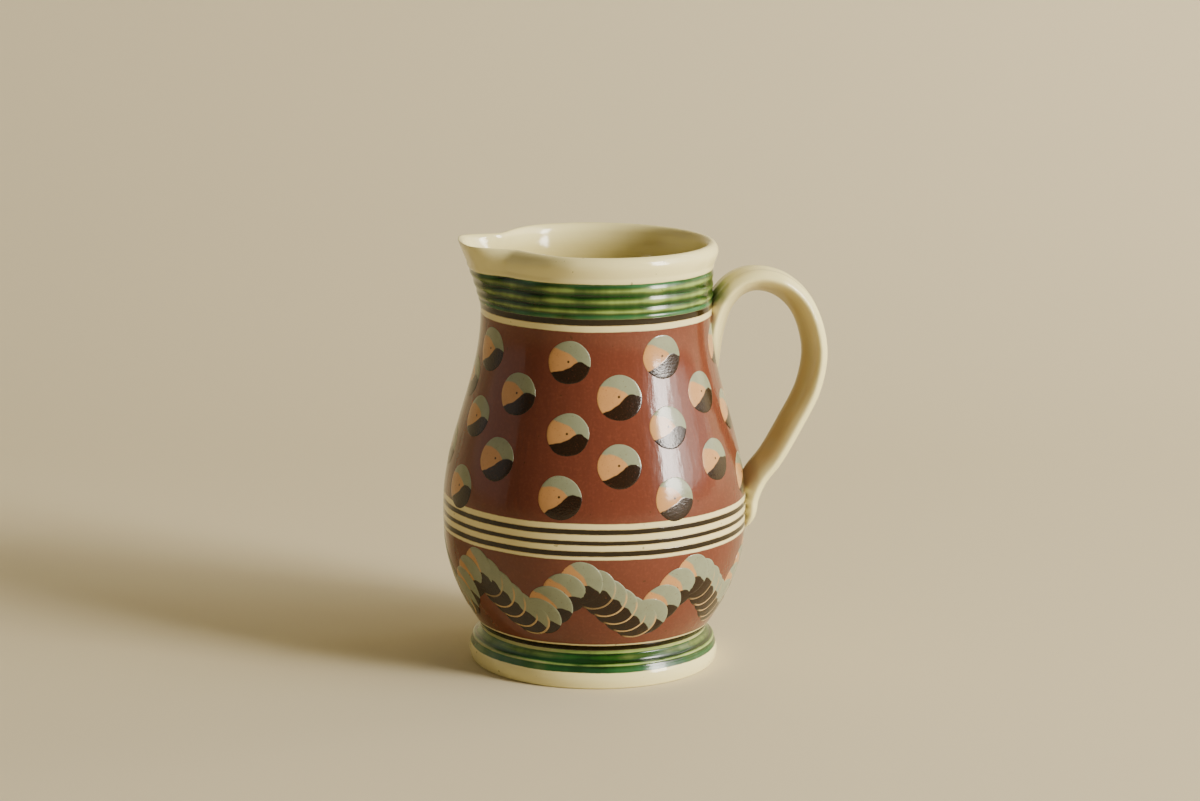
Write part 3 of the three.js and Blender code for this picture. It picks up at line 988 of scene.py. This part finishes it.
def lamp(name, azimuth, height, distance, width, tall, power):
    """Upright soft light that looks at the pitcher. Azimuth turns from +X towards +Y, in degrees."""
    data = bpy.data.lights.new(name, "AREA")
    data.shape = "RECTANGLE"
    data.size, data.size_y = width, tall
    data.energy = power
    data.color = WARM_WHITE
    light = bpy.data.objects.new(name, data)
    a = math.radians(azimuth)
    light.location = (distance * math.cos(a), distance * math.sin(a), height)
    aim = Vector((0, 0, 0.09)) - light.location
    light.rotation_euler = aim.to_track_quat("-Z", "Y").to_euler()
    bpy.context.scene.collection.objects.link(light)


def set_camera():
    data = bpy.data.cameras.new("Camera")
    data.lens = LENS
    data.sensor_width = 36
    camera = bpy.data.objects.new("Camera", data)
    turned = Matrix.Rotation(-YAW, 4, "Z") @ Matrix.Rotation(math.pi / 2 - LOOK_DOWN, 4, "X")
    turned = turned @ Matrix.Rotation(ROLL, 4, "Z")
    camera.matrix_world = Matrix.Translation(Vector(CAMERA_PLACE) * MM) @ turned
    bpy.context.scene.collection.objects.link(camera)
    bpy.context.scene.camera = camera


class ThrowBody(bpy.types.Operator):
    """Turn the body with its reeds, pull its lip and band it with slip"""

    bl_idname = "pitcher.throw_body"
    bl_label = "Throw the body"

    def execute(self, context):
        sizes = context.scene.pitcher_sizes
        rows = outline(sizes.reed_depth / MM)
        finish = body_glaze(context.scene.pitcher_colours)
        piece = turning().grow("pitcher_body", outline_mesh(rows), segments=sizes.segments,
                               lip_reach=sizes.lip_reach, lip_rise=sizes.lip_rise, pinch=sizes.pinch,
                               lip_start=LIP_START * MM, rim_height=RIM_HEIGHT * MM,
                               wobble=sizes.wobble, finish=finish)
        claim(piece)
        return {"FINISHED"}


class PullHandle(bpy.types.Operator):
    """Pull the strap handle and press its ends onto neck and belly"""

    bl_idname = "pitcher.pull_handle"
    bl_label = "Pull the handle"

    def execute(self, context):
        sizes = context.scene.pitcher_sizes
        mesh = strap_mesh(sizes.handle_width / MM, sizes.handle_thickness / MM, sizes.handle_ridge / MM)
        piece = bpy.data.objects.new("pitcher_handle", mesh)
        context.scene.collection.objects.link(piece)
        mesh.materials.append(handle_glaze(context.scene.pitcher_colours))
        claim(piece)
        return {"FINISHED"}


def drop_on_body(context, name, places, **shape):
    """Drops of slip at places round the body, as one piece."""
    body = bpy.data.objects.get("pitcher_body")
    if body is None:
        raise RuntimeError("throw the body before dropping slip on it")
    finish = drop_glaze(name + "_slips", context.scene.pitcher_colours)
    claim(dropping().grow(name, drop_points(places), body=body, sink=DROP_SINK * MM, finish=finish, **shape))


class DropCatsEyes(bpy.types.Operator):
    """Drop three-colour slip in columns on the upper field"""

    bl_idname = "pitcher.drop_cats_eyes"
    bl_label = "Drop the cat's eyes"

    def execute(self, context):
        sizes = context.scene.pitcher_sizes
        drop_on_body(context, "cats_eyes", eye_places(), radius=sizes.eye_radius,
                     relief=sizes.eye_relief, tilt=0.0, edge=0.8, uneven=0.035, seed=3)
        return {"FINISHED"}


class TrailWave(bpy.types.Operator):
    """Trail overlapping drops in waves round the lower field"""

    bl_idname = "pitcher.trail_wave"
    bl_label = "Trail the wave"

    def execute(self, context):
        sizes = context.scene.pitcher_sizes
        drop_on_body(context, "wave_trail", trail_places(), radius=sizes.trail_radius,
                     relief=sizes.trail_relief, tilt=sizes.trail_tilt, edge=0.4, uneven=0.02, seed=8)
        return {"FINISHED"}


class SetStage(bpy.types.Operator):
    """Lay the floor, light it softly from a tall window and place the camera"""

    bl_idname = "pitcher.set_stage"
    bl_label = "Set the stage"

    def execute(self, context):
        stage = context.scene.pitcher_stage
        floor = bpy.data.objects.new("floor_and_backdrop", sweep_mesh())
        context.scene.collection.objects.link(floor)
        floor.data.materials.append(plain_finish("plain_paper", stage.floor, 0.9))
        for azimuth, share in WINDOW_LIGHTS:
            lamp("window", azimuth, 0.98, 2.6, 0.38, 1.45, stage.window * share)
        for azimuth, share in ROOM_LIGHTS:
            lamp("room", azimuth, 1.25, 2.6, 0.56, 2.1, stage.window * share)
        lamp("left_fill", 164, 0.7, 2.4, 2.4, 1.8, stage.fill)
        world = bpy.data.worlds.new("soft_sky")
        world.use_nodes = True
        back = world.node_tree.nodes["Background"]
        back.inputs["Color"].default_value = SKY_COLOUR
        back.inputs["Strength"].default_value = stage.sky
        context.scene.world = world
        set_camera()
        return {"FINISHED"}


class PitcherPanel(bpy.types.Panel):
    """Buttons and sizes for the pitcher"""

    bl_idname = "VIEW3D_PT_pitcher"
    bl_label = "Mochaware pitcher"
    bl_space_type = "VIEW_3D"
    bl_region_type = "UI"
    bl_category = "Pitcher"

    def draw(self, context):
        for operator in OPERATORS:
            self.layout.operator(operator.bl_idname)
        for group in ("pitcher_sizes", "pitcher_colours", "pitcher_stage"):
            box = self.layout.box()
            settings = getattr(context.scene, group)
            for name in settings.__annotations__:
                box.prop(settings, name)


OPERATORS = (ThrowBody, PullHandle, DropCatsEyes, TrailWave, SetStage)
CLASSES = (PitcherSizes, PitcherColours, StageSizes, *OPERATORS, PitcherPanel)


def register():
    for cls in CLASSES:
        bpy.utils.register_class(cls)
    bpy.types.Scene.pitcher_sizes = PointerProperty(type=PitcherSizes)
    bpy.types.Scene.pitcher_colours = PointerProperty(type=PitcherColours)
    bpy.types.Scene.pitcher_stage = PointerProperty(type=StageSizes)


def unregister():
    del bpy.types.Scene.pitcher_stage
    del bpy.types.Scene.pitcher_colours
    del bpy.types.Scene.pitcher_sizes
    for cls in reversed(CLASSES):
        bpy.utils.unregister_class(cls)


def main():
    register()
    bpy.ops.pitcher.throw_body()
    bpy.ops.pitcher.pull_handle()
    bpy.ops.pitcher.drop_cats_eyes()
    bpy.ops.pitcher.trail_wave()
    bpy.ops.pitcher.set_stage()


if __name__ == "__main__":
    main()
